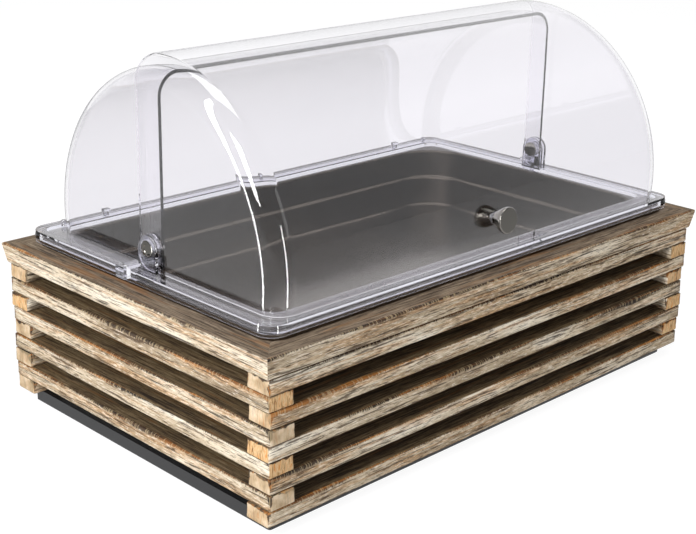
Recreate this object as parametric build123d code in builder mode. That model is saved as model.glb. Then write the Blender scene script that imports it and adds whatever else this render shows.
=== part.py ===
from build123d import *
import math
import os

# Roll-top buffet display: a crate of stacked wooden slats holds a steel food pan
# under a clear lid, whose front half rolls back over its rear half on two pins.
# Sizes are in millimetres. X runs along the length, the guest's side is at -Y and
# Z is up. The origin is the centre of the base board's underside.

# Steel pan, a full-size food pan with a flange that hangs on the wooden frame
pan_length = 530.0
pan_depth = 325.0
pan_corner_radius = 17.0
pan_flange_end_width = 12.5
pan_flange_side_width = 13.5
pan_mouth_radius = 46.0
pan_flange_height = 6.5
pan_wall = 0.9
pan_drop = 65.0
pan_step_drop = 30.0
pan_step = 2.0
pan_taper = 3.0
pan_bottom_radius = 12.0

# Mitred top frame round the pan
well_end_gap = 3.5
well_side_gap = 3.0
frame_width = 31.0
frame_height = 19.6
frame_slope_inset = 3.6
frame_top_radius = 1.5
frame_bottom_radius = 2.5

# Slats, stacked crosswise in layers that alternate between long and short ones
frame_end_overhang = 5.5
frame_side_overhang = 4.0
slat_thickness = 13.8
slat_width = 26.0
long_layers = 5
slat_edge_radius = 1.2
front_slat_shifts = [0.0, 1.2, -0.8, 0.6, -1.4]
back_slat_shifts = [0.0, -1.0, 0.9, -0.6, 1.0]
left_slat_shifts = [0.8, -0.7, 0.5, -0.9]
right_slat_shifts = [-0.6, 0.9, -0.8, 0.7]

# Base board under the slats
base_end_inset = 11.0
base_side_inset = 12.5
base_thickness = 12.0
base_corner_radius = 3.0
base_edge_radius = 1.0

# Joinery
dowel_diameter = 8.0
dowel_end_cover = 4.0
frame_dowel_diameter = 6.0
frame_dowel_spacing = 180.0
frame_dowel_in_slat = 9.8
frame_dowel_in_frame = 12.0
spline_length = 24.0
spline_width = 10.0
spline_thickness = 3.0
joinery_clearance = 0.05
screw_diameter = 4.0
screw_head_diameter = 8.0
screw_tip = 3.0
screw_length = 22.0
screw_spacing = 146.0
screws_per_side = 4
screw_from_slat_edge = 7.0

# Clear rail that carries the lid, over the pan's flange
rail_end_clearance = 1.9
rail_side_clearance = 0.4
rail_corner_radius = 15.0
rail_width = 21.5
rail_opening_radius = 14.0
rail_top_height = 14.0
rail_plate_thickness = 4.0
skirt_thickness = 1.6
skirt_bottom_height = 3.8
skirt_bead_height = 10.6
skirt_bead = 0.5
ledge_reach = 5.0
lug_spacing = 193.0
lug_count = 3
lug_stem_width = 3.2
lug_head_width = 6.6
lug_depth = 5.0
lug_height = 7.0
lug_head_height = 3.0
peg_diameter = 5.0
peg_height = 5.0
peg_from_end = 28.5

# Roll-top covers and their pivot
pivot_height = 33.3
cover_wall = 3.0
cover_rounding = 20.0
front_cover_end_inset = 13.0
front_cover_setback = 5.5
front_cover_back = 12.5
rear_cover_front = 11.0
cover_spacing = 8.0
cover_gap = 0.3

# Hinge brackets and pins
ear_half_width = 12.0
ear_side_gap = 0.4
ear_inner_thickness = 2.2
ear_outer_thickness = 3.0
foot_thickness = 2.0
foot_clearance = 0.2
arm_front = 8.0
arm_back = 20.0
arm_thickness = 3.0
arm_top_height = 19.0
hook_thickness = 7.2
hook_gap = 0.3
hook_bottom_height = 8.0
pin_diameter = 14.6
pin_inner_stand = 2.1
pin_edge = 0.8
pin_clearance = 0.06

# Knob on the front cover
knob_height = 44.0
knob_stem_diameter = 13.0
knob_length = 13.5
knob_face_diameter = 23.5
knob_face_thickness = 3.5
knob_edge = 0.8
knob_bore_depth = 9.0
knob_screw_diameter = 4.0
knob_screw_head_diameter = 8.0
knob_screw_head_height = 2.6
knob_screw_in_knob = 8.0
knob_washer_diameter = 11.0
knob_washer_thickness = 1.0
knob_seat_gap = 0.2
knob_screw_clearance = 0.1

# Plan sizes that follow from the pan: its mouth, the frame, the stack, the base and the rail
pan_mouth_length = pan_length - 2 * pan_flange_end_width
pan_mouth_depth = pan_depth - 2 * pan_flange_side_width
frame_length = pan_mouth_length + 2 * (well_end_gap + frame_width)
frame_depth = pan_mouth_depth + 2 * (well_side_gap + frame_width)
stack_length = frame_length - 2 * frame_end_overhang
stack_depth = frame_depth - 2 * frame_side_overhang
base_length = stack_length - 2 * base_end_inset
base_depth = stack_depth - 2 * base_side_inset
rail_length = pan_length + 2 * (rail_end_clearance + skirt_thickness)
rail_depth = pan_depth + 2 * (rail_side_clearance + skirt_thickness)
rail_opening_length = rail_length - 2 * rail_width
rail_opening_depth = rail_depth - 2 * rail_width

# Covers: the front one's end walls run in the brackets' forks, outside the rear one's
front_half_length = rail_length / 2 - front_cover_end_inset
rear_half_length = front_half_length - cover_wall - ear_inner_thickness - 2 * ear_side_gap
front_radius = rail_depth / 2 - front_cover_setback
rear_radius = front_radius - cover_wall - cover_spacing

# Heights of the stack's main levels above the table
layers = 2 * long_layers - 1
stack_top = base_thickness + layers * slat_thickness
wood_top = stack_top + frame_height
pan_top = wood_top + pan_flange_height
rail_top = wood_top + rail_top_height
rail_under = rail_top - rail_plate_thickness
pivot_z = wood_top + pivot_height

# Centres of the slats and of the dowels where they cross
long_slat_y = (stack_depth - slat_width) / 2
short_slat_x = (stack_length - slat_width) / 2
crossings = [(x, y) for x in (-short_slat_x, short_slat_x) for y in (-long_slat_y, long_slat_y)]
dowel_bottom = base_thickness + dowel_end_cover
dowel_length = stack_top - dowel_end_cover - dowel_bottom
frame_dowel_places = [
    (i * frame_dowel_spacing, y) for i in (-1, 0, 1) for y in (-long_slat_y, long_slat_y)
]
frame_dowel_bottom = stack_top - frame_dowel_in_slat
frame_dowel_length = frame_dowel_in_slat + frame_dowel_in_frame
screw_y = stack_depth / 2 - slat_width + screw_from_slat_edge
screw_places = [
    ((i - (screws_per_side - 1) / 2) * screw_spacing, y)
    for i in range(screws_per_side)
    for y in (-screw_y, screw_y)
]

# Places across the length, per side, from the rear cover's end wall outwards
ear_inner_face = rear_half_length + ear_side_gap
ear_outer_face = front_half_length + ear_side_gap
ear_outer_end = ear_outer_face + ear_outer_thickness
pin_inner_end = rear_half_length - cover_wall - pin_inner_stand
skirt_outer_x = rail_length / 2 + skirt_bead
hook_inner = skirt_outer_x + hook_gap
hook_outer = hook_inner + hook_thickness

# The knob's axis stands square on the front cover at the knob's height
knob_tilt = math.asin((knob_height - pivot_height) / front_radius)
knob_outwards = (0, -math.cos(knob_tilt), math.sin(knob_tilt))
knob_origin = (
    0,
    -front_radius * math.cos(knob_tilt),
    pivot_z + front_radius * math.sin(knob_tilt),
)
knob_plane = Plane(knob_origin, x_dir=(1, 0, 0), z_dir=knob_outwards)
knob_section = Plane(knob_origin, x_dir=(1, 0, 0), z_dir=-knob_plane.y_dir)
knob_axis = Axis(knob_origin, knob_outwards)
knob_bore_radius = knob_screw_diameter / 2 + knob_screw_clearance

os.makedirs("parts", exist_ok=True)


def save(piece, label):
    """Name a finished piece and write it to its own file."""
    piece.label = label
    export_step(piece, f"parts/{label}.step")


def upright_bores(places, diameter, bottom, length):
    """Cut the same upright bore at each place out of the piece being built."""
    with Locations(*[(x, y, bottom) for x, y in places]):
        Cylinder(
            diameter / 2 + joinery_clearance,
            length,
            align=(Align.CENTER, Align.CENTER, Align.MIN),
            mode=Mode.SUBTRACT,
        )


# Base board, screwed up into the lowest long slats
with BuildPart() as base_board:
    with BuildSketch():
        RectangleRounded(base_length, base_depth, base_corner_radius)
    extrude(amount=base_thickness)
    fillet(base_board.faces().sort_by(Axis.Z)[0].edges(), base_edge_radius)
    with Locations(*[Location((x, y, 0), (180, 0, 0)) for x, y in screw_places]):
        CounterSinkHole(
            screw_diameter / 2 + joinery_clearance,
            screw_head_diameter / 2 + joinery_clearance,
            depth=base_thickness,
            counter_sink_angle=90,
        )
save(base_board.part, "base_board")

# Countersunk screws of the base board
with BuildPart() as base_screws:
    with BuildSketch(Plane.XZ):
        with BuildLine():
            Polyline(
                (0, 0),
                (screw_head_diameter / 2, 0),
                (screw_diameter / 2, (screw_head_diameter - screw_diameter) / 2),
                (screw_diameter / 2, screw_length - screw_tip),
                (0, screw_length),
                close=True,
            )
        make_face()
    revolve(axis=Axis.Z)
base_screw_set = Compound(
    children=[base_screws.part.moved(Location((x, y, 0))) for x, y in screw_places]
)
save(base_screw_set, "base_screws")


def slat(x, y, bottom, length, depth):
    """One straight slat with eased edges and the bores of the dowels that pass it."""
    with BuildPart() as piece:
        with BuildSketch(Plane.XY.offset(bottom)):
            with Locations((x, y)):
                Rectangle(length, depth)
        extrude(amount=slat_thickness)
        fillet(piece.edges(), slat_edge_radius)
        upright_bores(crossings, dowel_diameter, dowel_bottom, dowel_length)
        upright_bores(
            frame_dowel_places, frame_dowel_diameter, frame_dowel_bottom, frame_dowel_length
        )
        upright_bores(screw_places, screw_diameter, 0, screw_length)
    return piece.part


def layer_bottom(layer):
    """Underside of a layer, counted down from the top layer, which is 1."""
    return stack_top - layer * slat_thickness


# Long slats along the front and the back, in the odd layers
for side, y, shifts in (
    ("front", -long_slat_y, front_slat_shifts),
    ("back", long_slat_y, back_slat_shifts),
):
    for i in range(long_layers):
        shift = shifts[i % len(shifts)]
        piece = slat(shift, y, layer_bottom(2 * i + 1), stack_length, slat_width)
        save(piece, f"slat_{side}_{i + 1}")

# Short slats along the ends, in the even layers
for side, x, shifts in (
    ("left", -short_slat_x, left_slat_shifts),
    ("right", short_slat_x, right_slat_shifts),
):
    for i in range(long_layers - 1):
        shift = shifts[i % len(shifts)]
        piece = slat(x, shift, layer_bottom(2 * i + 2), slat_width, stack_depth)
        save(piece, f"slat_{side}_{i + 1}")

# Corner dowels through the crossings of the slats
with BuildPart() as corner_dowels:
    with Locations(*[(x, y, dowel_bottom) for x, y in crossings]):
        Cylinder(
            dowel_diameter / 2, dowel_length, align=(Align.CENTER, Align.CENTER, Align.MIN)
        )
save(corner_dowels.part, "corner_dowels")

# Short dowels between the top slats and the frame
with BuildPart() as frame_dowels:
    with Locations(*[(x, y, frame_dowel_bottom) for x, y in frame_dowel_places]):
        Cylinder(
            frame_dowel_diameter / 2,
            frame_dowel_length,
            align=(Align.CENTER, Align.CENTER, Align.MIN),
        )
save(frame_dowels.part, "frame_dowels")

# Flat splines across the mitres, at mid height of the frame
mitre_centres = [
    (sx * (frame_length - frame_width) / 2, sy * (frame_depth - frame_width) / 2, -sx * sy * 45)
    for sx in (-1, 1)
    for sy in (-1, 1)
]


def spline_blocks(clearance, mode):
    """The four splines, or with a clearance the slots that they lie in."""
    for x, y, turn in mitre_centres:
        with Locations(Location((x, y, stack_top + frame_height / 2), (0, 0, turn))):
            Box(
                spline_length + 2 * clearance,
                spline_width + 2 * clearance,
                spline_thickness + 2 * clearance,
                mode=mode,
            )


with BuildPart() as mitre_splines:
    spline_blocks(0, Mode.ADD)
save(mitre_splines.part, "mitre_splines")


def frame_member(side_plane, length):
    """One mitred moulding, on a plane whose X runs along it and whose Y points inwards."""
    section_plane = Plane(side_plane.origin, x_dir=side_plane.y_dir, z_dir=side_plane.x_dir)
    with BuildPart() as member:
        with BuildSketch(section_plane):
            with BuildLine():
                Polyline(
                    (frame_width, 0),
                    (frame_slope_inset, 0),
                    (0, frame_height),
                    (frame_width, frame_height),
                    close=True,
                )
            section = make_face()
            outer_corners = section.vertices().sort_by(Axis.X)[:2].sort_by(Axis.Y)
            fillet(outer_corners[0], frame_bottom_radius)
            fillet(outer_corners[1], frame_top_radius)
        extrude(amount=length / 2, both=True)
        with BuildSketch(side_plane):
            Polygon(
                (-length / 2, 0),
                (length / 2, 0),
                (length / 2 - frame_width, frame_width),
                (frame_width - length / 2, frame_width),
                align=None,
            )
        extrude(amount=frame_height, mode=Mode.INTERSECT)
        spline_blocks(joinery_clearance, Mode.SUBTRACT)
        upright_bores(
            frame_dowel_places, frame_dowel_diameter, frame_dowel_bottom, frame_dowel_length
        )
    return member.part


# Top frame: front, right, back and left mouldings
half_length = frame_length / 2
half_depth = frame_depth / 2
for side, origin, along, length in (
    ("front", (0, -half_depth, stack_top), (1, 0, 0), frame_length),
    ("right", (half_length, 0, stack_top), (0, 1, 0), frame_depth),
    ("back", (0, half_depth, stack_top), (-1, 0, 0), frame_length),
    ("left", (-half_length, 0, stack_top), (0, -1, 0), frame_depth),
):
    save(frame_member(Plane(origin, x_dir=along, z_dir=(0, 0, 1)), length), f"frame_{side}")


def tub(inset, rise):
    """The pan's tapered body down to its step and below it, drawn in and raised by a wall."""
    step_z = pan_top - pan_step_drop + rise
    bottom_z = pan_top - pan_drop + rise
    corner = pan_mouth_radius - inset
    with BuildPart() as body:
        with BuildSketch(Plane.XY.offset(pan_top)):
            RectangleRounded(pan_mouth_length - 2 * inset, pan_mouth_depth - 2 * inset, corner)
        extrude(amount=step_z - pan_top, taper=pan_taper)
        lower = body.faces().sort_by(Axis.Z)[0].bounding_box().size
        with BuildSketch(Plane.XY.offset(step_z)):
            RectangleRounded(lower.X - 2 * pan_step, lower.Y - 2 * pan_step, corner - pan_step)
        extrude(amount=bottom_z - step_z, taper=pan_taper)
        fillet(body.faces().sort_by(Axis.Z)[0].edges(), pan_bottom_radius - inset)
    return body.part


# Steel pan: pressed tub with a flat flange and a turned-down edge
with BuildPart() as pan:
    add(tub(0, 0))
    with BuildSketch(Plane.XY.offset(wood_top)):
        RectangleRounded(pan_length, pan_depth, pan_corner_radius)
    extrude(amount=pan_flange_height)
    with BuildSketch(Plane.XY.offset(wood_top)):
        RectangleRounded(
            pan_length - 2 * pan_wall, pan_depth - 2 * pan_wall, pan_corner_radius - pan_wall
        )
        RectangleRounded(pan_mouth_length, pan_mouth_depth, pan_mouth_radius, mode=Mode.SUBTRACT)
    extrude(amount=pan_flange_height - pan_wall, mode=Mode.SUBTRACT)
    add(tub(pan_wall, pan_wall), mode=Mode.SUBTRACT)
save(pan.part, "pan")


# Clear rail: plate, skirt round the flange, ledge that rests on the flange, lugs and pegs
lug_y = rear_radius + cover_gap + lug_depth / 2
with BuildPart() as cover_rail:
    with BuildSketch(Plane.XY.offset(wood_top + skirt_bottom_height)):
        RectangleRounded(
            rail_length + 2 * skirt_bead,
            rail_depth + 2 * skirt_bead,
            rail_corner_radius + skirt_bead,
        )
        RectangleRounded(
            rail_length - 2 * skirt_thickness,
            rail_depth - 2 * skirt_thickness,
            rail_corner_radius - skirt_thickness,
            mode=Mode.SUBTRACT,
        )
    extrude(amount=skirt_bead_height - skirt_bottom_height)
    with BuildSketch(Plane.XY.offset(wood_top + skirt_bead_height)):
        RectangleRounded(rail_length, rail_depth, rail_corner_radius)
        RectangleRounded(
            rail_length - 2 * skirt_thickness,
            rail_depth - 2 * skirt_thickness,
            rail_corner_radius - skirt_thickness,
            mode=Mode.SUBTRACT,
        )
    extrude(amount=rail_top_height - skirt_bead_height)
    with BuildSketch(Plane.XY.offset(rail_under)):
        RectangleRounded(rail_length - 2, rail_depth - 2, rail_corner_radius - 1)
        RectangleRounded(
            rail_opening_length, rail_opening_depth, rail_opening_radius, mode=Mode.SUBTRACT
        )
    extrude(amount=rail_plate_thickness)
    with BuildSketch(Plane.XY.offset(pan_top)):
        RectangleRounded(
            rail_length - skirt_thickness,
            rail_depth - skirt_thickness,
            rail_corner_radius - skirt_thickness / 2,
        )
        RectangleRounded(
            pan_length - 2 * ledge_reach,
            pan_depth - 2 * ledge_reach,
            pan_corner_radius - ledge_reach,
            mode=Mode.SUBTRACT,
        )
    extrude(amount=rail_under - pan_top)
    for i in range(lug_count):
        lug_x = (i - (lug_count - 1) / 2) * lug_spacing
        with BuildSketch(Plane.XY.offset(rail_top)):
            with Locations((lug_x, lug_y)):
                Rectangle(lug_stem_width, lug_depth)
        extrude(amount=lug_height)
        with BuildSketch(Plane.XY.offset(rail_top + lug_height - lug_head_height)):
            with Locations((lug_x, lug_y)):
                Rectangle(lug_head_width, lug_depth)
        extrude(amount=lug_head_height)
    for side in (-1, 1):
        with BuildSketch(Plane.XY.offset(rail_top)):
            with Locations((side * (rail_length / 2 - peg_from_end), lug_y)):
                Circle(peg_diameter / 2)
        extrude(amount=peg_height)
        with BuildSketch(Plane.XY.offset(rail_top)):
            with Locations((side * (ear_inner_face + ear_outer_end) / 2, 0)):
                Rectangle(
                    ear_outer_end - ear_inner_face + 2 * foot_clearance,
                    2 * (ear_half_width + foot_clearance),
                )
        extrude(amount=-foot_thickness, mode=Mode.SUBTRACT)
save(cover_rail.part, "cover_rail")


def cover_block(radius, half_span, rounding, y_min, y_max, bottom, heel):
    """Solid quarter barrel about the pivot line, with rounded ends and an eased heel."""
    with BuildPart() as block:
        with BuildSketch(Plane.YZ) as section:
            with Locations((0, pivot_z)):
                Circle(radius)
            with Locations((y_min, bottom)):
                Rectangle(
                    y_max - y_min,
                    pivot_z + radius - bottom,
                    align=(Align.MIN, Align.MIN),
                    mode=Mode.INTERSECT,
                )
            if heel:
                lowest = section.vertices().group_by(Axis.Y)[0]
                fillet(lowest.sort_by(Axis.X)[-1], heel)
        extrude(amount=half_span, both=True)
        rims = block.edges().filter_by(GeomType.CIRCLE).filter_by(
            lambda edge: abs(edge.radius - radius) < cover_wall / 2
        )
        fillet(rims, rounding)
    return block.part


def pivot_bores(half_span):
    """Cut the bores of the two pivot pins through both end walls of a cover."""
    with Locations(Location((0, 0, pivot_z), (0, 90, 0))):
        Cylinder(pin_diameter / 2 + pin_clearance, 2 * half_span, mode=Mode.SUBTRACT)


# The space outside the covers' open sides that their hollows run out into
overrun = 2 * cover_wall

# Rear cover: stands on the rail, open at the bottom and towards the front
with BuildPart() as rear_cover:
    add(
        cover_block(
            rear_radius, rear_half_length, cover_rounding, -rear_cover_front, rear_radius, rail_top, 0
        )
    )
    add(
        cover_block(
            rear_radius - cover_wall,
            rear_half_length - cover_wall,
            cover_rounding - cover_wall,
            -rear_cover_front - overrun,
            rear_radius,
            rail_top - overrun,
            0,
        ),
        mode=Mode.SUBTRACT,
    )
    pivot_bores(rear_half_length)
save(rear_cover.part, "rear_cover")

# Front cover: just over the rail at rest, with a round heel that clears it as it turns
with BuildPart() as front_cover:
    add(
        cover_block(
            front_radius,
            front_half_length,
            cover_rounding,
            -front_radius,
            front_cover_back,
            rail_top + cover_gap,
            front_cover_back,
        )
    )
    add(
        cover_block(
            front_radius - cover_wall,
            front_half_length - cover_wall,
            cover_rounding - cover_wall,
            -front_radius,
            front_cover_back + overrun,
            rail_top - overrun,
            0,
        ),
        mode=Mode.SUBTRACT,
    )
    pivot_bores(front_half_length)
    with BuildSketch(knob_plane.offset(-overrun)):
        Circle(knob_screw_diameter / 2 + knob_screw_clearance)
    extrude(amount=2 * overrun, mode=Mode.SUBTRACT)
save(front_cover.part, "front_cover")


def hinge_bracket(side):
    """Forked bracket: foot in the rail, two ears beside the covers' end walls, arm and hook."""
    with BuildPart() as bracket:
        with BuildSketch(Plane.XY.offset(rail_top)):
            with Locations((side * (ear_inner_face + ear_outer_end) / 2, 0)):
                Rectangle(ear_outer_end - ear_inner_face, 2 * ear_half_width)
        extrude(amount=-foot_thickness)
        for start, thickness in (
            (ear_inner_face, ear_inner_thickness),
            (ear_outer_face, ear_outer_thickness),
        ):
            with BuildSketch(Plane.YZ.offset(side * start)):
                with Locations((0, pivot_z)):
                    Circle(ear_half_width)
                with Locations((0, rail_top - foot_thickness)):
                    Rectangle(
                        2 * ear_half_width,
                        pivot_z - rail_top + foot_thickness,
                        align=(Align.CENTER, Align.MIN),
                    )
                with Locations((0, pivot_z)):
                    Circle(pin_diameter / 2 + pin_clearance, mode=Mode.SUBTRACT)
            extrude(amount=side * thickness)
        with BuildSketch(Plane.XY.offset(wood_top + arm_top_height)):
            with Locations((side * (ear_outer_face + hook_outer) / 2, (arm_front + arm_back) / 2)):
                Rectangle(hook_outer - ear_outer_face, arm_back - arm_front)
        extrude(amount=-arm_thickness)
        with BuildSketch(Plane.XY.offset(wood_top + hook_bottom_height)):
            with Locations((side * (hook_inner + hook_outer) / 2, (arm_front + arm_back) / 2)):
                Rectangle(hook_thickness, arm_back - arm_front)
        extrude(amount=arm_top_height - hook_bottom_height)
    return bracket.part


def pivot_pin(side):
    """Bright pin through the ears and the end walls of both covers, flush with the outer ear."""
    with BuildPart() as pin:
        with BuildSketch(Plane.YZ.offset(side * pin_inner_end)):
            with Locations((0, pivot_z)):
                Circle(pin_diameter / 2)
        extrude(amount=side * (ear_outer_end - pin_inner_end))
        chamfer(pin.edges().filter_by(GeomType.CIRCLE), pin_edge)
    return pin.part


for side, label in ((-1, "left"), (1, "right")):
    save(hinge_bracket(side), f"hinge_bracket_{label}")
    save(pivot_pin(side), f"pivot_pin_{label}")

# Knob, its screw through the front cover's wall and the washer under the screw's head
knob_base = knob_seat_gap
with BuildPart() as knob:
    with BuildSketch(knob_section):
        with BuildLine():
            Polyline(
                (knob_bore_radius, knob_base),
                (knob_stem_diameter / 2, knob_base),
                (knob_face_diameter / 2, knob_base + knob_length - knob_face_thickness),
                (knob_face_diameter / 2, knob_base + knob_length),
                (0, knob_base + knob_length),
                (0, knob_base + knob_bore_depth),
                (knob_bore_radius, knob_base + knob_bore_depth),
                close=True,
            )
        make_face()
    revolve(axis=knob_axis)
    fillet(knob.edges().filter_by(GeomType.CIRCLE).sort_by(Axis.Y)[0], knob_edge)
save(knob.part, "knob")

washer_outer = -cover_wall - knob_seat_gap
washer_inner = washer_outer - knob_washer_thickness
with BuildPart() as knob_washer:
    with BuildSketch(knob_plane.offset(washer_inner)):
        Circle(knob_washer_diameter / 2)
        Circle(knob_bore_radius, mode=Mode.SUBTRACT)
    extrude(amount=knob_washer_thickness)
save(knob_washer.part, "knob_washer")

with BuildPart() as knob_screw:
    with BuildSketch(knob_plane.offset(washer_inner)):
        Circle(knob_screw_head_diameter / 2)
    extrude(amount=-knob_screw_head_height)
    fillet(knob_screw.edges().filter_by(GeomType.CIRCLE).sort_by(Axis.Y)[-1], knob_edge)
    with BuildSketch(knob_plane.offset(washer_inner)):
        Circle(knob_screw_diameter / 2)
    extrude(amount=knob_base + knob_screw_in_knob - washer_inner)
save(knob_screw.part, "knob_screw")
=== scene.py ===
"""Roll-top buffet display: a crate of whitewashed slats with a steel food pan under a clear roll-top lid."""

import math

import bmesh
import bpy
from mathutils import Matrix, Vector


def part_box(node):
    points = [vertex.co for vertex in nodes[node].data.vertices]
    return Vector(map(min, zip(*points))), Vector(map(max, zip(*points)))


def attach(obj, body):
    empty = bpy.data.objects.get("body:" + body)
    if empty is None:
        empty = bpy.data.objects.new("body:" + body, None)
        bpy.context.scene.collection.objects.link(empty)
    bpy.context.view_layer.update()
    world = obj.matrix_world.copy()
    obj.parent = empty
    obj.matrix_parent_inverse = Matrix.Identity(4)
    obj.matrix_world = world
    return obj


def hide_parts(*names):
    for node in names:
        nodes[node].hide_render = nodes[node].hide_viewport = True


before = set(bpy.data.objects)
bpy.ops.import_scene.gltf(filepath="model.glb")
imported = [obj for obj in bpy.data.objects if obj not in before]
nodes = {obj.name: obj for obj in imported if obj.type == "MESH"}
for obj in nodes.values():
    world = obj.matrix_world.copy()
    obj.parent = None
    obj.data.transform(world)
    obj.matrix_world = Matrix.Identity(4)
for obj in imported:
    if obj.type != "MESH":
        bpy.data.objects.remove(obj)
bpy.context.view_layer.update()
MM = 0.001
CRATE_MIDDLE = (0, 0, 0.1)

# Levels and sizes that the pieces share, read from the frame
wood_low, wood_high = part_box("frame_front")
stack_top = wood_low.z
wood_top = wood_high.z
pan_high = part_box("pan")[1]
pan_top = pan_high.z
pin_low, pin_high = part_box("pivot_pin_right")
pivot_z = (pin_low.z + pin_high.z) / 2
rear_low, rear_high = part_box("rear_cover")
front_low, front_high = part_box("front_cover")


def linear(colour):
    """An sRGB hex colour as the linear RGBA that the shaders take."""
    channels = [int(colour[i:i + 2], 16) / 255 for i in (1, 3, 5)]
    return [c / 12.92 if c <= 0.04045 else ((c + 0.055) / 1.055) ** 2.4 for c in channels] + [1.0]


def add(tree, kind, links=None, **settings):
    """A node of a kind, with its settings and what feeds its inputs: a socket or a plain value."""
    node = tree.nodes.new(kind)
    for name, value in settings.items():
        setattr(node, name, value)
    for key, value in (links or {}).items():
        socket = node.inputs[key]
        if isinstance(value, bpy.types.NodeSocket):
            tree.links.new(value, socket)
        else:
            socket.default_value = value
    return node


def shader(name):
    """A new material's node tree, emptied but for its output."""
    material = bpy.data.materials.new(name)
    material.use_nodes = True
    tree = material.node_tree
    tree.nodes.clear()
    return material, tree, add(tree, "ShaderNodeOutputMaterial")


def maths(tree, operation, a, b=0.0, c=0.0, clamp=False):
    """One step of arithmetic on sockets or numbers, as a socket."""
    node = add(tree, "ShaderNodeMath", {0: a, 1: b, 2: c}, operation=operation, use_clamp=clamp)
    return node.outputs[0]


def blend_colours(tree, amount, below, above):
    """Two colours mixed by an amount from 0 to 1, as a socket."""
    mix = add(tree, "ShaderNodeMix", {0: amount, 6: below, 7: above}, data_type="RGBA")
    return mix.outputs[2]


def ramp(tree, value, stops):
    """A colour ramp through (position, sRGB colour) stops, as its colour socket."""
    node = add(tree, "ShaderNodeValToRGB", {0: value})
    elements = node.color_ramp.elements
    while len(elements) > 1:
        elements.remove(elements[-1])
    for i, (position, colour) in enumerate(stops):
        element = elements[0] if i == 0 else elements.new(position)
        element.position = position
        element.color = linear(colour)
    return node.outputs[0]


def streaks(tree, vector, lengths, detail, roughness=0.6, distortion=0.0):
    """Noise stretched to the given lengths in millimetres along the three axes, as a value socket."""
    rates = tuple(1 / (length * MM) for length in lengths)
    scaled = add(tree, "ShaderNodeVectorMath", {0: vector, 1: rates}, operation="MULTIPLY")
    noise = add(
        tree, "ShaderNodeTexNoise",
        {
            "Vector": scaled.outputs[0], "Scale": 1.0, "Detail": detail, "Roughness": roughness,
            "Distortion": distortion,
        },
    )
    return noise.outputs[0]


def step(tree, value, low, high):
    """A smooth 0 to 1 step between two values."""
    node = add(
        tree, "ShaderNodeMapRange",
        {"Value": value, "From Min": low, "From Max": high, "To Min": 0.0, "To Max": 1.0},
        interpolation_type="SMOOTHSTEP",
    )
    return node.outputs[0]


def rise(tree, value, low, high, most):
    """A smooth step from 0 at the low value to the most at the high one."""
    return maths(tree, "MULTIPLY", step(tree, value, low, high), most)


def fall(tree, value, low, high, most):
    """A smooth step from the most at the low value to 0 at the high one."""
    return maths(tree, "MULTIPLY", maths(tree, "SUBTRACT", 1.0, step(tree, value, low, high)), most)


def spread(tree, noise, low, high):
    """The middle of a noise's range laid out from one roughness to another."""
    node = add(
        tree, "ShaderNodeMapRange",
        {"Value": noise, "From Min": 0.3, "From Max": 0.7, "To Min": low, "To Max": high},
    )
    return node.outputs[0]


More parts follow.
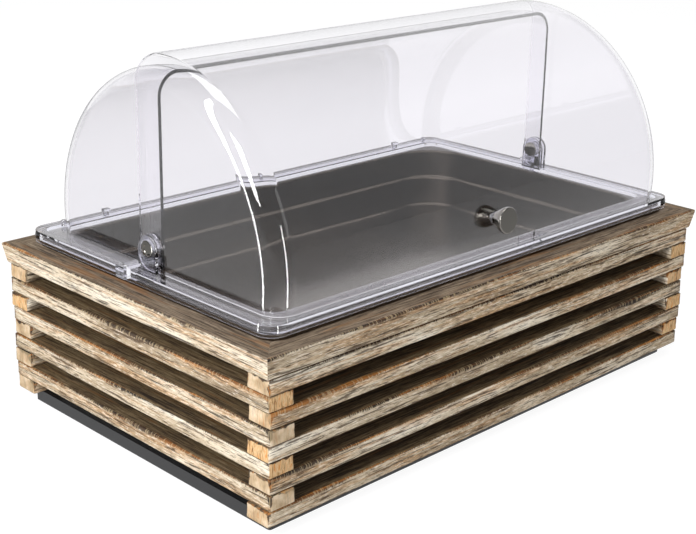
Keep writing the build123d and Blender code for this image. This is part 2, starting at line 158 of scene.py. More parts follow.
def whitewashed_pine(name, end_axis, top_colours):
    """Brushed softwood, whitewashed and sanded back: cream faces, dark open grain, scorched upper edges."""
    material, tree, output = shader(name)
    grain = add(tree, "ShaderNodeAttribute", attribute_name="grain").outputs["Vector"]
    edge = add(tree, "ShaderNodeAttribute", attribute_name="edge").outputs["Fac"]
    tone = add(tree, "ShaderNodeAttribute", attribute_name="tone").outputs["Fac"]
    normal = add(tree, "ShaderNodeTexCoord").outputs["Normal"]
    facing = add(tree, "ShaderNodeSeparateXYZ", {0: normal}).outputs

    # Growth lines some 2 mm apart, hairs between them, wider veins, patches of wash, the saw's marks
    fine = streaks(tree, grain, (38, 2.2, 2.2), 3.0, 0.7, 0.3)
    hairs = streaks(tree, grain, (8, 1.3, 1.3), 2.0, 0.7)
    veins = streaks(tree, grain, (150, 6, 6), 5.0, 0.62, 0.9)
    patches = streaks(tree, grain, (120, 15, 15), 3.0, 0.5, 0.2)
    nicks = streaks(tree, grain, (1.5, 7, 7), 2.0, 0.6)
    saw_ticks = streaks(tree, grain, (1.3, 60, 60), 0.0)

    # Side faces: cream wash, thin where the wood shows warm, with pale hairs and dark open grain
    wash = ramp(tree, patches, [(0.3, "#8F7C63"), (0.43, "#B8A589"), (0.54, "#D3C3A9"), (0.7, "#EDE3D0")])
    warm = ramp(tree, hairs, [(0.3, "#7E5A36"), (0.5, "#B78E62"), (0.7, "#D7A96C")])
    bared = maths(tree, "ADD", veins, maths(tree, "MULTIPLY", tone, 0.1))
    face = blend_colours(tree, rise(tree, bared, 0.54, 0.68, 0.7), wash, warm)
    face = blend_colours(tree, rise(tree, hairs, 0.54, 0.66, 0.55), face, linear("#F6EEDF"))
    dark_hairs = fall(tree, hairs, 0.36, 0.46, 0.55)
    face = blend_colours(tree, dark_hairs, face, linear("#6B553E"))
    face = blend_colours(tree, fall(tree, fine, 0.38, 0.48, 0.85), face, linear("#4B3826"))
    dark_veins = fall(tree, veins, 0.33, 0.4, 0.9)
    face = blend_colours(tree, dark_veins, face, linear("#2C2016"))

    # Tops: most of the wash is sanded off, and some veins are rusty
    brown = ramp(tree, fine, list(zip((0.32, 0.44, 0.56, 0.7), top_colours)))
    brown = blend_colours(tree, maths(tree, "MULTIPLY", dark_hairs, 0.9), brown, linear("#2E2116"))
    brown = blend_colours(tree, rise(tree, veins, 0.56, 0.66, 0.62), brown, linear("#8A5F34"))
    brown = blend_colours(tree, dark_veins, brown, linear("#2C2016"))
    upward = step(tree, maths(tree, "ABSOLUTE", facing["Z"]), 0.5, 0.8)
    surface = blend_colours(tree, upward, face, brown)

    # End grain: cream to orange, lined from top to bottom
    rings = streaks(tree, grain, (20, 1.8, 11), 3.0, 0.6, 0.6)
    end = ramp(tree, rings, [(0.3, "#6E4522"), (0.42, "#B98A54"), (0.52, "#DDBF92"), (0.66, "#D0873A")])
    end = blend_colours(tree, rise(tree, tone, 0.35, 0.8, 0.7), end, wash)
    endward = step(tree, maths(tree, "ABSOLUTE", facing[end_axis]), 0.6, 0.85)
    surface = blend_colours(tree, endward, surface, end)

    # Upper edges: a ragged scorched band, with pale ticks where the saw tore the fibres
    ragged = maths(tree, "MULTIPLY_ADD", maths(tree, "SUBTRACT", nicks, 0.5), 5.0 * MM, edge)
    ragged = maths(tree, "MULTIPLY_ADD", maths(tree, "SUBTRACT", patches, 0.5), 9.0 * MM, ragged)
    burn = ramp(tree, veins, [(0.42, "#21160E"), (0.5, "#432C18"), (0.57, "#8A5522"), (0.66, "#B97A35")])
    burn = blend_colours(tree, rise(tree, saw_ticks, 0.54, 0.62, 0.45), burn, linear("#C9B28A"))
    surface = blend_colours(tree, fall(tree, ragged, 0.9 * MM, 2.0 * MM, 0.92), surface, burn)

    height = maths(tree, "MULTIPLY_ADD", veins, 1.5, fine)
    bump = add(tree, "ShaderNodeBump", {"Height": height, "Strength": 0.5, "Distance": 0.5 * MM})
    bsdf = add(
        tree, "ShaderNodeBsdfPrincipled",
        {
            "Base Color": surface, "Roughness": spread(tree, fine, 0.9, 0.65), "Normal": bump.outputs[0],
            "IOR": 1.5, "Specular IOR Level": 0.3,
        },
    )
    tree.links.new(bsdf.outputs[0], output.inputs[0])
    return material


def satin_stainless():
    """Deep-drawn stainless steel, satin rolled: soft reflections with faint lines along the length, its base
    colour darkened far below bare steel as a painted dark reflection.
    """
    material, tree, output = shader("satin_stainless_steel")
    place = add(tree, "ShaderNodeTexCoord").outputs["Object"]
    rolling = streaks(tree, place, (160, 3, 3), 2.0)
    clouds = streaks(tree, place, (90, 70, 70), 3.0)
    # Base colour much darker than bare steel: a painted dark reflection of a dark studio, with a faint
    # random mottle
    colour = ramp(tree, clouds, [(0.3, "#5C554D"), (0.7, "#665F56")])
    bsdf = add(
        tree, "ShaderNodeBsdfPrincipled",
        {"Base Color": colour, "Roughness": spread(tree, rolling, 0.2, 0.23), "Metallic": 1.0},
    )
    tree.links.new(bsdf.outputs[0], output.inputs[0])
    return material


def clear_polycarbonate(name, tint, painted_edge_shade, roughness):
    """Injection-moulded clear plastic: glossy, faintly violet, with a painted grey edge shade where it turns
    edge on; lamps shine through it.
    """
    material, tree, output = shader(name)
    place = add(tree, "ShaderNodeTexCoord").outputs["Object"]
    flow = add(tree, "ShaderNodeTexNoise", {"Vector": place, "Scale": 14.0, "Detail": 2.0})
    bump = add(tree, "ShaderNodeBump", {"Height": flow.outputs[0], "Strength": 0.02, "Distance": 0.3 * MM})
    # Greyer base colour where the surface turns edge on: painted shade standing in for dark surroundings
    # seen through the plastic's edges
    turned_away = add(tree, "ShaderNodeLayerWeight", {"Blend": 0.5}).outputs["Facing"]
    colour = ramp(tree, turned_away, [(0.0, tint), (0.72, tint), (0.97, painted_edge_shade)])
    plastic = add(
        tree, "ShaderNodeBsdfPrincipled",
        {
            "Base Color": colour, "Roughness": roughness, "IOR": 1.586, "Transmission Weight": 1.0,
            "Normal": bump.outputs[0],
        },
    )
    passing = add(tree, "ShaderNodeBsdfTransparent", {"Color": linear("#EDEDF2")})
    shadow_ray = add(tree, "ShaderNodeLightPath").outputs["Is Shadow Ray"]
    mix = add(tree, "ShaderNodeMixShader", {0: shadow_ray, 1: plastic.outputs[0], 2: passing.outputs[0]})
    tree.links.new(mix.outputs[0], output.inputs[0])
    return material


def polished_chrome():
    """Chrome plate, buffed after turning: mirror smooth, dark where the studio is dark, faintly smeared."""
    material, tree, output = shader("polished_chrome_plate")
    place = add(tree, "ShaderNodeTexCoord").outputs["Object"]
    smear = add(tree, "ShaderNodeTexNoise", {"Vector": place, "Scale": 160.0, "Detail": 3.0})
    rough = spread(tree, smear.outputs[0], 0.05, 0.1)
    bsdf = add(
        tree, "ShaderNodeBsdfPrincipled",
        {"Base Color": linear("#9A9791"), "Roughness": rough, "Metallic": 1.0},
    )
    tree.links.new(bsdf.outputs[0], output.inputs[0])
    return material


def speckled(name, dark, light, roughness, grain_size, metallic=0.0):
    """A plain finish with a fine mottle in it: brushed paint, turned dowels or zinc plate."""
    material, tree, output = shader(name)
    place = add(tree, "ShaderNodeTexCoord").outputs["Object"]
    mottle = streaks(tree, place, (grain_size, grain_size, grain_size), 4.0)
    colour = ramp(tree, mottle, [(0.35, dark), (0.65, light)])
    rough = spread(tree, mottle, roughness - 0.05, roughness + 0.05)
    bump = add(tree, "ShaderNodeBump", {"Height": mottle, "Strength": 0.3, "Distance": 0.1 * MM})
    bsdf = add(
        tree, "ShaderNodeBsdfPrincipled",
        {"Base Color": colour, "Roughness": rough, "Metallic": metallic, "Normal": bump.outputs[0]},
    )
    tree.links.new(bsdf.outputs[0], output.inputs[0])
    return material


slat_browns = ("#33271A", "#5A4831", "#7A6648", "#988364")
frame_browns = ("#33271A", "#5C4D3B", "#7A6A56", "#96856D")
slat_wood_x = whitewashed_pine("whitewashed_pine_long_slats", "X", slat_browns)
slat_wood_y = whitewashed_pine("whitewashed_pine_short_slats", "Y", slat_browns)
frame_wood_x = whitewashed_pine("whitewashed_pine_frame_sides", "X", frame_browns)
frame_wood_y = whitewashed_pine("whitewashed_pine_frame_ends", "Y", frame_browns)
steel = satin_stainless()
# The second colour of each clear plastic is its painted grey edge shade
clear_cover = clear_polycarbonate("clear_polycarbonate_covers", "#FBFAFD", "#80808E", 0.005)
clear_rail = clear_polycarbonate("clear_polycarbonate_rail", "#F1F1F8", "#70707E", 0.01)
chrome = polished_chrome()
base_paint = speckled("satin_black_paint", "#131315", "#1C1C1F", 0.42, 1.5)
dowel_wood = speckled("turned_beech_dowel", "#B98F5C", "#CDA673", 0.6, 2.0)
zinc = speckled("zinc_plated_steel", "#9A9A96", "#B4B3AE", 0.35, 0.8, metallic=1.0)


def new_piece(name, mesh, material, body, replaced):
    """A finished piece in the scene, riding on its body and standing for its CAD nodes."""
    mesh.materials.clear()
    mesh.materials.append(material)
    piece = bpy.data.objects.new(name, mesh)
    bpy.context.scene.collection.objects.link(piece)
    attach(piece, body)
    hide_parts(*replaced)


def evaluated_mesh(source):
    """The source object's mesh with its modifiers applied; the source is removed."""
    depsgraph = bpy.context.evaluated_depsgraph_get()
    mesh = bpy.data.meshes.new_from_object(source.evaluated_get(depsgraph), depsgraph=depsgraph)
    bpy.data.objects.remove(source)
    return mesh


def scratch_object(mesh):
    """An object to hang modifiers on for a moment."""
    item = bpy.data.objects.new("scratch", mesh)
    bpy.context.scene.collection.objects.link(item)
    return item


def mesh_from(vertices, faces, name):
    """A mesh of points and faces."""
    mesh = bpy.data.meshes.new(name)
    mesh.from_pydata([tuple(v) for v in vertices], [], faces)
    mesh.update()
    return mesh


def smooth(mesh, sharp_degrees):
    """Outward normals and smooth faces, with the edges sharper than an angle left crisp."""
    work = bmesh.new()
    work.from_mesh(mesh)
    bmesh.ops.recalc_face_normals(work, faces=work.faces)
    limit = math.radians(sharp_degrees)
    for face in work.faces:
        face.smooth = True
    for edge in work.edges:
        edge.smooth = len(edge.link_faces) != 2 or edge.calc_face_angle(0.0) < limit
    work.to_mesh(mesh)
    work.free()
    return mesh


def combine(mesh, other, operation):
    """The exact boolean of a closed mesh with another one."""
    base = scratch_object(mesh)
    tool = scratch_object(other)
    modifier = base.modifiers.new("cut", "BOOLEAN")
    modifier.operation = operation
    modifier.solver = "EXACT"
    modifier.object = tool
    made = evaluated_mesh(base)
    bpy.data.objects.remove(tool)
    return made


def bevelled(mesh, width, angle=40):
    """The mesh with the edges sharper than an angle eased."""
    item = scratch_object(mesh)
    modifier = item.modifiers.new("ease", "BEVEL")
    modifier.width = width
    modifier.segments = 2
    modifier.limit_method = "ANGLE"
    modifier.angle_limit = math.radians(angle)
    return evaluated_mesh(item)


def true_flats(mesh):
    """Normals that keep large flat faces flat where they run into a rounding."""
    item = scratch_object(mesh)
    modifier = item.modifiers.new("flats", "WEIGHTED_NORMAL")
    modifier.keep_sharp = True
    modifier.weight = 100
    return evaluated_mesh(item)


def cad_copy(node):
    """A welded copy of a CAD node's mesh with its flat faces made whole."""
    work = bmesh.new()
    work.from_mesh(nodes[node].data)
    bmesh.ops.remove_doubles(work, verts=work.verts, dist=0.005 * MM)
    bmesh.ops.dissolve_limit(work, angle_limit=math.radians(0.5), verts=work.verts, edges=work.edges)
    mesh = bpy.data.meshes.new(node + "_welded")
    work.to_mesh(mesh)
    work.free()
    return mesh


# Slats: one tree builds an eased, worn slat at each point it is given
def slat_tree():
    """Geometry nodes that stand a worn slat on every point: its grain, edge and tone go with it."""
    tree = bpy.data.node_groups.new("worn_slats", "GeometryNodeTree")
    for name, kind in (
        ("Slats", "NodeSocketGeometry"), ("Length", "NodeSocketFloat"), ("Width", "NodeSocketFloat"),
        ("Thickness", "NodeSocketFloat"), ("Edge Radius", "NodeSocketFloat"),
        ("Cell Length", "NodeSocketFloat"), ("Wear", "NodeSocketFloat"), ("Turn", "NodeSocketFloat"),
        ("Seed", "NodeSocketInt"), ("Material", "NodeSocketMaterial"),
    ):
        tree.interface.new_socket(name, in_out="INPUT", socket_type=kind)
    tree.interface.new_socket("Slats", in_out="OUTPUT", socket_type="NodeSocketGeometry")
    given = add(tree, "NodeGroupInput").outputs
    result = add(tree, "NodeGroupOutput")
    vector_maths = "ShaderNodeVectorMath"

    # A block in small cells, so that its edges can wear
    size = add(
        tree, "ShaderNodeCombineXYZ", {0: given["Length"], 1: given["Width"], 2: given["Thickness"]},
    ).outputs[0]
    cells = maths(tree, "DIVIDE", given["Length"], given["Cell Length"])
    block = add(
        tree, "GeometryNodeMeshCube",
        {"Size": size, "Vertices X": cells, "Vertices Y": 17, "Vertices Z": 10},
    ).outputs["Mesh"]

    # Depth under the nearest long edge, and more of it towards the underside
    place = add(tree, "GeometryNodeInputPosition").outputs[0]
    half = add(tree, vector_maths, {0: size, 1: (0.5, 0.5, 0.5)}, operation="MULTIPLY").outputs[0]
    reach = add(tree, vector_maths, {0: place}, operation="ABSOLUTE").outputs[0]
    inset = add(tree, vector_maths, {0: half, 1: reach}, operation="SUBTRACT").outputs[0]
    depth = add(tree, "ShaderNodeSeparateXYZ", {0: inset}).outputs
    least = maths(tree, "MINIMUM", depth[0], depth[1])
    most = maths(tree, "MAXIMUM", depth[0], depth[1])
    from_edge = maths(tree, "MAXIMUM", least, maths(tree, "MINIMUM", most, depth[2]))
    level = add(tree, "ShaderNodeSeparateXYZ", {0: place}).outputs[2]
    below = maths(tree, "MAXIMUM", maths(tree, "MULTIPLY", level, -0.5), 0.0)
    from_edge = maths(tree, "ADD", from_edge, below)
    block = add(
        tree, "GeometryNodeStoreNamedAttribute", {"Geometry": block, "Name": "edge", "Value": from_edge},
        data_type="FLOAT", domain="POINT",
    ).outputs[0]
    block = add(
        tree, "GeometryNodeStoreNamedAttribute", {"Geometry": block, "Name": "grain", "Value": place},
        data_type="FLOAT_VECTOR", domain="POINT",
    ).outputs[0]

    # Rounded corners: each point moves to a radius from the core of the block
    round_off = given["Edge Radius"]
    radius = add(tree, "ShaderNodeCombineXYZ", {0: round_off, 1: round_off, 2: round_off}).outputs[0]
    core_high = add(tree, vector_maths, {0: half, 1: radius}, operation="SUBTRACT").outputs[0]
    core_low = add(tree, vector_maths, {0: core_high, 1: (-1, -1, -1)}, operation="MULTIPLY").outputs[0]
    core = add(tree, vector_maths, {0: place, 1: core_low}, operation="MAXIMUM").outputs[0]
    core = add(tree, vector_maths, {0: core, 1: core_high}, operation="MINIMUM").outputs[0]
    outward = add(tree, vector_maths, {0: place, 1: core}, operation="SUBTRACT").outputs[0]
    outward = add(tree, vector_maths, {0: outward}, operation="NORMALIZE").outputs[0]
    outward = add(tree, vector_maths, {0: outward, "Scale": round_off}, operation="SCALE").outputs[0]
    rounded = add(tree, vector_maths, {0: core, 1: outward}, operation="ADD").outputs[0]
    block = add(tree, "GeometryNodeSetPosition", {"Geometry": block, "Position": rounded}).outputs[0]

    # One slat on each point, with its own tone and its own stretch of grain
    tone = add(tree, "FunctionNodeRandomValue", {"Seed": given["Seed"]}, data_type="FLOAT").outputs[1]
    points = add(
        tree, "GeometryNodeStoreNamedAttribute", {"Geometry": given["Slats"], "Name": "tone", "Value": tone},
        data_type="FLOAT", domain="POINT",
    ).outputs[0]
    turn = add(tree, "ShaderNodeCombineXYZ", {2: given["Turn"]}).outputs[0]
    slats = add(
        tree, "GeometryNodeInstanceOnPoints", {"Points": points, "Instance": block, "Rotation": turn},
    ).outputs[0]
    slats = add(tree, "GeometryNodeRealizeInstances", {"Geometry": slats}).outputs[0]
    own_tone = add(tree, "GeometryNodeInputNamedAttribute", {"Name": "tone"}, data_type="FLOAT").outputs[0]
    own_grain = add(
        tree, "GeometryNodeInputNamedAttribute", {"Name": "grain"}, data_type="FLOAT_VECTOR",
    ).outputs[0]
    shift = add(tree, vector_maths, {0: (5.3, 2.9, 3.7), "Scale": own_tone}, operation="SCALE").outputs[0]
    moved_grain = add(tree, vector_maths, {0: own_grain, 1: shift}, operation="ADD").outputs[0]
    slats = add(
        tree, "GeometryNodeStoreNamedAttribute", {"Geometry": slats, "Name": "grain", "Value": moved_grain},
        data_type="FLOAT_VECTOR", domain="POINT",
    ).outputs[0]

    # Wear: the surface dips along the grain, most at the edges
    own_edge = add(tree, "GeometryNodeInputNamedAttribute", {"Name": "edge"}, data_type="FLOAT").outputs[0]
    near_edge = add(
        tree, "ShaderNodeMapRange",
        {"Value": own_edge, "From Min": 0.0, "From Max": 2.5 * MM, "To Min": 1.0, "To Max": 0.25},
    ).outputs[0]
    stretched = add(
        tree, vector_maths, {0: moved_grain, 1: (70.0, 260.0, 260.0)}, operation="MULTIPLY",
    ).outputs[0]
    dips = add(tree, "ShaderNodeTexNoise", {"Vector": stretched, "Scale": 1.0, "Detail": 2.0}).outputs[0]
    push = maths(tree, "MULTIPLY", maths(tree, "MULTIPLY", dips, near_edge), given["Wear"])
    push = maths(tree, "MULTIPLY", push, -1.0)
    facing = add(tree, "GeometryNodeInputNormal").outputs[0]
    inward = add(tree, vector_maths, {0: facing, "Scale": push}, operation="SCALE").outputs[0]
    slats = add(tree, "GeometryNodeSetPosition", {"Geometry": slats, "Offset": inward}).outputs[0]
    slats = add(tree, "GeometryNodeSetShadeSmooth", {"Geometry": slats}).outputs[0]
    slats = add(
        tree, "GeometryNodeSetMaterial", {"Geometry": slats, "Material": given["Material"]},
    ).outputs[0]
    tree.links.new(slats, result.inputs[0])
    return tree


def grown_mesh(source, tree, values):
    """The plain mesh that a geometry nodes tree makes of a source mesh, with inputs set by name."""
    item = scratch_object(source)
    modifier = item.modifiers.new("grow", "NODES")
    modifier.node_group = tree
    for socket in tree.interface.items_tree:
        if socket.in_out == "INPUT" and socket.name in values:
            modifier[socket.identifier] = values[socket.name]
    return evaluated_mesh(item)


def slat_piece(name, names, turned_across, material, seed):
    """All the slats that lie one way, each where its CAD node is."""
    boxes = [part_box(n) for n in names]
    centres = [(low + high) / 2 for low, high in boxes]
    size = boxes[0][1] - boxes[0][0]
    mesh = grown_mesh(
        mesh_from(centres, [], name + "_places"), worn_slats,
        {
            "Length": size.y if turned_across else size.x, "Width": size.x if turned_across else size.y,
            "Thickness": size.z, "Edge Radius": 1.1 * MM, "Cell Length": 6 * MM, "Wear": 0.7 * MM,
            "Turn": math.pi / 2 if turned_across else 0.0, "Seed": seed, "Material": material,
        },
    )
    new_piece(name, mesh, material, "crate", names)


worn_slats = slat_tree()
long_names = [n for n in nodes if n.startswith(("slat_front", "slat_back"))]
short_names = [n for n in nodes if n.startswith(("slat_left", "slat_right"))]
slat_piece("long_slats", long_names, False, slat_wood_x, 11)
slat_piece("short_slats", short_names, True, slat_wood_y, 23)


def rounded_outline(points, radius_at, steps):
    """A polygon with arcs at the corners that have a radius: (x, y) points in order."""
    made = []
    for i, corner in enumerate(points):
        radius = radius_at.get(i, 0.0)
        here = Vector(corner)
        if not radius:
            made.append(here)
            continue
        before = (Vector(points[i - 1]) - here).normalized()
        after = (Vector(points[(i + 1) % len(points)]) - here).normalized()
        angle = before.angle(after)
        middle = (before + after).normalized()
        centre = here + middle * (radius / math.sin(angle / 2))
        start = here + before * (radius / math.tan(angle / 2)) - centre
        end = here + after * (radius / math.tan(angle / 2)) - centre
        swing = start.angle(end)
        for k in range(steps + 1):
            share = k / steps
            arc = start * math.sin((1 - share) * swing) + end * math.sin(share * swing)
            made.append(centre + arc / math.sin(swing))
    return made


def moulding(name, origin, along, inward, length, grain_shift):
    """A mitred frame moulding: its section run along the side, cut at 45 degrees, worn on its edges."""
    width = 31 * MM
    height = wood_top - stack_top
    slope = 3.6 * MM
    corners = [(width, 0), (slope, 0), (0, height), (width, height)]
    outline = rounded_outline(corners, {1: 2.5 * MM, 2: 1.5 * MM}, 4)
    cell_width = 2.2 * MM
    cell_length = 6 * MM
    section = []
    for i, point in enumerate(outline):
        after = outline[(i + 1) % len(outline)]
        parts = max(1, round((after - point).length / cell_width))
        section += [point.lerp(after, k / parts) for k in range(parts)]
    sharp = [Vector(c) for c in corners]
    up = Vector((0, 0, 1))
    stations = round(length / cell_length)
    vertices, grains, edges = [], [], []
    for i in range(stations + 1):
        share = i / stations * 2 - 1
        for point in section:
            run = share * (length / 2 - point.x)
            vertices.append(origin + along * run + inward * point.x + up * point.y)
            grains.append(Vector((run, point.x, point.y)) + Vector(grain_shift))
            edges.append(min((point - c).length for c in sharp) + (height - point.y) * 0.3)
    count = len(section)
    faces = [
        (a * count + b, a * count + (b + 1) % count, (a + 1) * count + (b + 1) % count, (a + 1) * count + b)
        for a in range(stations) for b in range(count)
    ]
    faces.append(tuple(range(count)))
    faces.append(tuple(stations * count + b for b in reversed(range(count))))
    mesh = smooth(mesh_from(vertices, faces, name), 50)
    mesh.attributes.new("grain", "FLOAT_VECTOR", "POINT")
    mesh.attributes["grain"].data.foreach_set("vector", [c for g in grains for c in g])
    mesh.attributes.new("edge", "FLOAT", "POINT")
    mesh.attributes["edge"].data.foreach_set("value", edges)
    mesh.attributes.new("tone", "FLOAT", "POINT")
    mesh.attributes["tone"].data.foreach_set("value", [0.5] * len(edges))
    return mesh


# Wooden top frame: four mouldings, each cut from its own stretch of grain
half_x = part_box("frame_right")[1].x
half_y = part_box("frame_back")[1].y
for side, outer_face, along, length, material, grain_shift in (
    ("front", (0, -half_y, stack_top), (1, 0, 0), 2 * half_x, frame_wood_x, (5.18, 12.76, 7.7)),
    ("right", (half_x, 0, stack_top), (0, 1, 0), 2 * half_y, frame_wood_y, (5.18, 12.76, 7.28)),
    ("back", (0, half_y, stack_top), (-1, 0, 0), 2 * half_x, frame_wood_x, (4.81, 11.77, 6.93)),
    ("left", (-half_x, 0, stack_top), (0, -1, 0), 2 * half_y, frame_wood_y, (4.81, 12.76, 7.14)),
):
    name = "moulding_" + side
    inward = Vector((0, 0, 1)).cross(Vector(along))
    mesh = moulding(name, Vector(outer_face), Vector(along), inward, length, grain_shift)
    new_piece(name, mesh, material, "crate", ["frame_" + side])


def ring(half_length, half_depth, radius, height):
    """A rounded rectangle of points at a height, round its four corners in turn."""
    steps = 12
    points = []
    for quarter, (sx, sy) in enumerate(((1, 1), (-1, 1), (-1, -1), (1, -1))):
        centre = Vector((sx * (half_length - radius), sy * (half_depth - radius), height))
        for k in range(steps + 1):
            angle = math.pi / 2 * (quarter + k / steps)
            points.append(centre + Vector((math.cos(angle), math.sin(angle), 0)) * radius)
    return points


def eased(profile, cut, steps=5):
    """A profile of (half length, half depth, radius, height) stations with its corners rounded off."""
    made = [Vector(profile[0])]
    for previous, here, following in zip(profile, profile[1:], profile[2:]):
        corner = Vector(here)
        before = Vector(previous) - corner
        after = Vector(following) - corner
        start = corner + before * (min(cut, before.length * 0.45) / before.length)
        end = corner + after * (min(cut, after.length * 0.45) / after.length)
        for k in range(steps + 1):
            share = k / steps
            made.append(start * (1 - share) ** 2 + corner * 2 * share * (1 - share) + end * share ** 2)
    made.append(Vector(profile[-1]))
    return made


def swept(name, profile):
    """A skin through the rounded rectangles of a profile, closed across the last one."""
    rings = [ring(*station) for station in profile]
    size = len(rings[0])
    vertices = [point for points in rings for point in points]
    faces = [
        (a * size + b, a * size + (b + 1) % size, (a + 1) * size + (b + 1) % size, (a + 1) * size + b)
        for a in range(len(rings) - 1) for b in range(size)
    ]
    faces.append(tuple((len(rings) - 1) * size + b for b in range(size)))
    return mesh_from(vertices, faces, name)


# Steel pan: down-turned edge, flat flange, drawn walls with a step, radiused bottom
flange_x, flange_y = pan_high.x, pan_high.y
flange_round = 17 * MM
flange_top = pan_top - 0.08 * MM
mouth_x, mouth_y = flange_x - 12.5 * MM, flange_y - 13.5 * MM
mouth_round = 46 * MM
step_drop = 30 * MM
step_in = 2 * MM
sheet = 0.9 * MM
floor_level = pan_top - 65 * MM
taper = math.tan(math.radians(3))
lean = step_drop * taper
low_x, low_y = mouth_x - lean - step_in, mouth_y - lean - step_in
foot = (pan_top - floor_level - step_drop) * taper
wall_x, wall_y = low_x - foot * 0.8, low_y - foot * 0.8
foot_x, foot_y = low_x - foot, low_y - foot
bend = 14 * MM
pan_profile = (
    [Vector((flange_x, flange_y, flange_round, wood_top))]
    + eased(
        [
            (flange_x, flange_y, flange_round, wood_top + 0.5 * MM),
            (flange_x, flange_y, flange_round, flange_top),
            (mouth_x, mouth_y, mouth_round, flange_top),
            (mouth_x - lean, mouth_y - lean, mouth_round - 1 * MM, pan_top - step_drop),
            (low_x, low_y, mouth_round - 3 * MM, pan_top - step_drop - 1 * MM),
            (wall_x, wall_y, mouth_round - 4 * MM, floor_level + 10 * MM),
        ],
        2.2 * MM,
    )
    + eased(
        [
            (wall_x, wall_y, mouth_round - 4 * MM, floor_level + 12 * MM),
            (foot_x, foot_y, mouth_round - 5 * MM, floor_level + sheet),
            (foot_x - bend, foot_y - bend, mouth_round - 16 * MM, floor_level + sheet),
        ],
        11 * MM, 8,
    )
    + [Vector((120 * MM, 60 * MM, 10 * MM, floor_level + 1.6 * MM))]
)
pan_object = scratch_object(smooth(swept("drawn_pan", pan_profile), 70))
walls = pan_object.modifiers.new("sheet", "SOLIDIFY")
walls.thickness = sheet * 0.8
walls.offset = -1
pan_mesh = true_flats(evaluated_mesh(pan_object))
new_piece("drawn_pan", pan_mesh, steel, "food_pan", ["pan"])

# Clear rail, from the CAD solid with its edges eased: plate, skirt, lugs and pegs
rail_mesh = true_flats(smooth(bevelled(cad_copy("cover_rail"), 0.4 * MM), 35))
new_piece("lid_rail", rail_mesh, clear_rail, "lid", ["cover_rail"])


def turned(name, profile, segments):
    """A solid turned about X from (along, radius) points, closed where the radius is zero."""
    vertices, rows = [], []
    for along, radius in profile:
        if radius == 0:
            rows.append([len(vertices)])
            vertices.append(Vector((along, 0, 0)))
        else:
            rows.append(list(range(len(vertices), len(vertices) + segments)))
            for k in range(segments):
                angle = 2 * math.pi * k / segments
                vertices.append(Vector((along, radius * math.cos(angle), radius * math.sin(angle))))
    faces = []
    for first, second in zip(rows, rows[1:]):
        for k in range(segments):
            here, there = k % len(first), (k + 1) % len(first)
            beyond, back = (k + 1) % len(second), k % len(second)
            corners = [first[here], first[there], second[beyond], second[back]]
            faces.append(tuple(dict.fromkeys(corners)))
    mesh = mesh_from(vertices, faces, name)
    mesh.transform(Matrix.Translation((0, 0, pivot_z)))
    return mesh


def barrel(name, radius, half_length, rounding):
    """A barrel about the pivot line whose ends round over into flat end walls."""
    steps = 12
    profile = [(-half_length, 0)]
    for k in range(steps + 1):
        angle = math.pi / 2 * k / steps
        along = -half_length + rounding * (1 - math.cos(angle))
        profile.append((along, radius - rounding * (1 - math.sin(angle))))
    profile += [(-along, r) for along, r in reversed(profile)]
    return smooth(turned(name, profile, 240), 60)


def prism(name, outline, half_span):
    """A solid with an outline of (y, z) points, across the whole lid, its faces turned outwards."""
    count = len(outline)
    vertices = [Vector((x, y, z)) for x in (-half_span, half_span) for y, z in outline]
    faces = [(a, (a + 1) % count, count + (a + 1) % count, count + a) for a in range(count)]
    faces.append(tuple(reversed(range(count))))
    faces.append(tuple(range(count, 2 * count)))
    return smooth(mesh_from(vertices, faces, name), 0)


def shell(name, radius, half_length, outline):
    """A clear cover: a hollow barrel cut to its outline, with the pins' bores."""
    wall = 3 * MM
    rounding = 20 * MM
    bore_radius = 7.36 * MM
    outer = barrel(name, radius, half_length, rounding)
    inner = barrel(name + "_hollow", radius - wall, half_length - wall, rounding - wall)
    cut = combine(outer, inner, "DIFFERENCE")
    cut = combine(cut, prism(name + "_outline", outline, half_length + wall), "INTERSECT")
    bore = turned(name + "_bore", [(-1, 0), (-1, bore_radius), (1, bore_radius), (1, 0)], 64)
    cut = combine(cut, smooth(bore, 60), "DIFFERENCE")
    return true_flats(smooth(bevelled(cut, 0.35 * MM, 50), 35))


# Covers: the front one's back corner is a quarter round, the rear one's front edge is straight
front_radius = -front_low.y
rear_radius = rear_high.y
heel = front_high.y
far = front_radius + 10 * MM
front_outline = rounded_outline(
    [(-far, front_low.z), (heel, front_low.z), (heel, pivot_z + far), (-far, pivot_z + far)], {1: heel}, 12,
)
rear_front = rear_low.y
rear_outline = [
    (rear_front, rear_low.z), (far, rear_low.z), (far, pivot_z + far), (rear_front, pivot_z + far),
]
front_mesh = shell("front_shell", front_radius, front_high.x, front_outline)
rear_mesh = shell("rear_shell", rear_radius, rear_high.x, rear_outline)
new_piece("front_shell", front_mesh, clear_cover, "roll_cover", ["front_cover"])
new_piece("rear_shell", rear_mesh, clear_cover, "lid", ["rear_cover"])

# Forked brackets, from the CAD solids with their edges eased
for side in ("left", "right"):
    fork = true_flats(smooth(bevelled(cad_copy("hinge_bracket_" + side), 0.5 * MM), 35))
    new_piece("fork_" + side, fork, clear_rail, "lid", ["hinge_bracket_" + side])

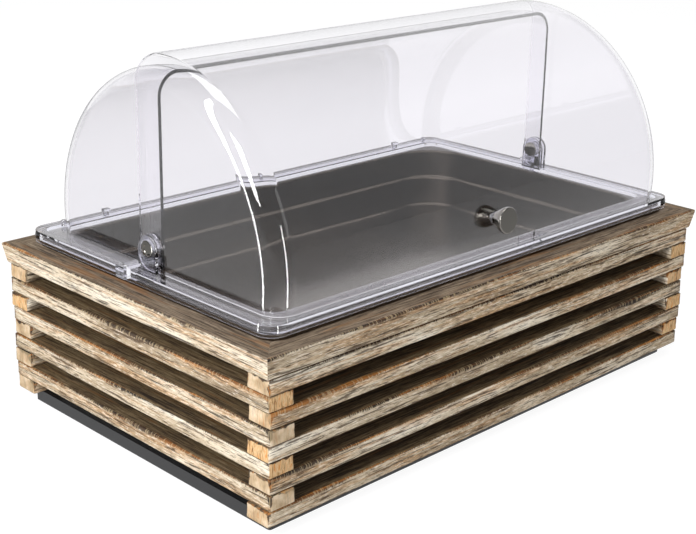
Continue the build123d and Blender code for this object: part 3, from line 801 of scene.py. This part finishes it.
# Pins: rounded rims, and a shallow dish in the outer face
for side, sign in (("left", -1), ("right", 1)):
    low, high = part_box("pivot_pin_" + side)
    inner_end, outer_end = (low.x, high.x) if sign > 0 else (high.x, low.x)
    radius = (high.z - low.z) / 2
    rim = 0.8 * MM
    knee = radius - 0.25 * MM
    outward = rim * sign
    pin = turned(
        "pin_" + side,
        [
            (inner_end, 0), (inner_end, radius - rim), (inner_end + outward * 0.3, knee),
            (inner_end + outward, radius), (outer_end - outward, radius), (outer_end - outward * 0.3, knee),
            (outer_end, radius - rim), (outer_end, radius * 0.55),
            (outer_end - outward * 0.5, radius * 0.5), (outer_end - outward * 0.5, 0),
        ],
        64,
    )
    new_piece("pin_" + side, smooth(pin, 40), chrome, "lid", ["pivot_pin_" + side])

# Knob: a polished cone with a flat face
knob = smooth(bevelled(cad_copy("knob"), 0.3 * MM, 30), 30)
new_piece("turned_knob", knob, chrome, "roll_cover", ["knob"])

for node, material in (
    ("base_board", base_paint), ("base_screws", zinc), ("knob_screw", zinc), ("corner_dowels", dowel_wood),
    ("frame_dowels", dowel_wood), ("mitre_splines", dowel_wood), ("knob_washer", clear_rail),
):
    cad_mesh = nodes[node].data
    cad_mesh.materials.clear()
    cad_mesh.materials.append(material)


def sight(tree):
    """Two sockets: 1 for rays that look at the backdrop, and 1 for those that only mirror it."""
    path = add(tree, "ShaderNodeLightPath").outputs
    looking = maths(tree, "MAXIMUM", path["Is Glossy Ray"], path["Is Transmission Ray"])
    looking = maths(tree, "MAXIMUM", path["Is Camera Ray"], looking)
    mirroring = maths(tree, "SUBTRACT", path["Is Glossy Ray"], path["Is Transmission Ray"], clamp=True)
    return looking, mirroring


# Floor: white paper that keeps the object's soft shadow, dimmer in mirrors beyond the crate
floor_mesh = mesh_from([(-12, -12, 0), (12, -12, 0), (12, 12, 0), (-12, 12, 0)], [(0, 1, 2, 3)], "floor")
floor = bpy.data.objects.new("floor", floor_mesh)
bpy.context.scene.collection.objects.link(floor)
paper, paper_tree, paper_output = shader("white_paper_floor")
looked_at, mirrored = sight(paper_tree)
paper_place = add(paper_tree, "ShaderNodeTexCoord").outputs["Object"]
distance = add(paper_tree, "ShaderNodeVectorMath", {0: paper_place}, operation="LENGTH").outputs["Value"]
far_off = maths(paper_tree, "MULTIPLY", step(paper_tree, distance, 0.34, 0.75), mirrored)
paper_level = maths(paper_tree, "MULTIPLY_ADD", far_off, -0.85, 1.1)
paper_glow = add(paper_tree, "ShaderNodeEmission", {"Color": linear("#FFFFFF"), "Strength": paper_level})
paper_white = add(
    paper_tree, "ShaderNodeBsdfPrincipled",
    {"Base Color": linear("#F4F4F4"), "Roughness": 0.9, "Specular IOR Level": 0.0},
)
paper_mix = add(
    paper_tree, "ShaderNodeMixShader",
    {0: maths(paper_tree, "MULTIPLY", looked_at, 0.84), 1: paper_white.outputs[0], 2: paper_glow.outputs[0]},
)
paper_tree.links.new(paper_mix.outputs[0], paper_output.inputs[0])
floor_mesh.materials.append(paper)

# World: white where it is looked at, softer where it lights; mirrors see it dim overhead and in front
world = bpy.data.worlds.new("studio")
bpy.context.scene.world = world
world.use_nodes = True
sky = world.node_tree
sky.nodes.clear()
looked_at, mirrored = sight(sky)
soft_light = add(sky, "ShaderNodeBackground", {"Color": linear("#F6F7FA"), "Strength": 0.39})
aim = add(sky, "ShaderNodeSeparateXYZ", {0: add(sky, "ShaderNodeTexCoord").outputs["Generated"]}).outputs
overhead = step(sky, aim["Z"], 0.4, 0.85)
in_front = maths(sky, "SUBTRACT", 1.0, step(sky, maths(sky, "ADD", aim["X"], aim["Y"]), 0.0, 0.9))
dimmed = maths(sky, "MULTIPLY", maths(sky, "MAXIMUM", overhead, in_front), mirrored)
sky_level = maths(sky, "MULTIPLY_ADD", dimmed, -0.85, 1.0)
white = add(sky, "ShaderNodeBackground", {"Color": linear("#FFFFFF"), "Strength": sky_level})
sky_mix = add(sky, "ShaderNodeMixShader", {0: looked_at, 1: soft_light.outputs[0], 2: white.outputs[0]})
add(sky, "ShaderNodeOutputWorld", {0: sky_mix.outputs[0]})


def softbox(name, place, target, width, height, power, for_shine=False):
    """A rectangular studio lamp that faces a point; one for shine is seen only in glossy surfaces."""
    lamp = bpy.data.lights.new(name, "AREA")
    lamp.shape = "RECTANGLE"
    lamp.size = width
    lamp.size_y = height
    lamp.energy = power
    item = bpy.data.objects.new(name, lamp)
    item.location = place
    item.rotation_mode = "QUATERNION"
    item.rotation_quaternion = (Vector(target) - Vector(place)).to_track_quat("-Z", "Y")
    item.visible_diffuse = not for_shine
    # Hidden from rays through the clear covers, which let its light pass and would show it twice
    item.visible_transmission = False
    item.visible_camera = False
    bpy.context.scene.collection.objects.link(item)


softbox("key_left", (-2.2, -0.5, 1.3), CRATE_MIDDLE, 0.5, 1.4, 50)
softbox("top", (0.2, 0.3, 2.4), CRATE_MIDDLE, 1.2, 1.2, 22)
softbox("front_fill", (0.6, -2.4, 1.2), CRATE_MIDDLE, 0.6, 1.2, 3)
softbox("strip_left", (-0.55, 0.03, 0.5), (-0.2, -0.15, 0.5), 0.055, 0.96, 2.9, for_shine=True)
softbox("strip_front", (-0.276, -0.446, 0.175), (-0.24, -0.15, 0.175), 0.032, 0.31, 0.55, for_shine=True)

# Camera at the photograph's place: its height, turn, fall and slight roll
CAMERA_PLACE = (-0.8982, -0.8798, 0.5537)
YAW, PITCH, ROLL = 44.824, 19.332, 1.0913
yaw, pitch, roll = (math.radians(a) for a in (YAW, PITCH, ROLL))
forward = Vector((math.sin(yaw) * math.cos(pitch), math.cos(yaw) * math.cos(pitch), -math.sin(pitch)))
level_right = Vector((math.cos(yaw), -math.sin(yaw), 0))
level_up = level_right.cross(forward)
right = level_right * math.cos(roll) + level_up * math.sin(roll)
upward = level_up * math.cos(roll) - level_right * math.sin(roll)
camera_data = bpy.data.cameras.new("camera")
camera_data.lens = 71.11
camera_data.sensor_width = 36
camera = bpy.data.objects.new("camera", camera_data)
bpy.context.scene.collection.objects.link(camera)
turn = Matrix((right, upward, -forward)).transposed().to_4x4()
camera.matrix_world = Matrix.Translation(CAMERA_PLACE) @ turn
bpy.context.scene.camera = camera
bpy.context.scene.view_settings.view_transform = "Standard"
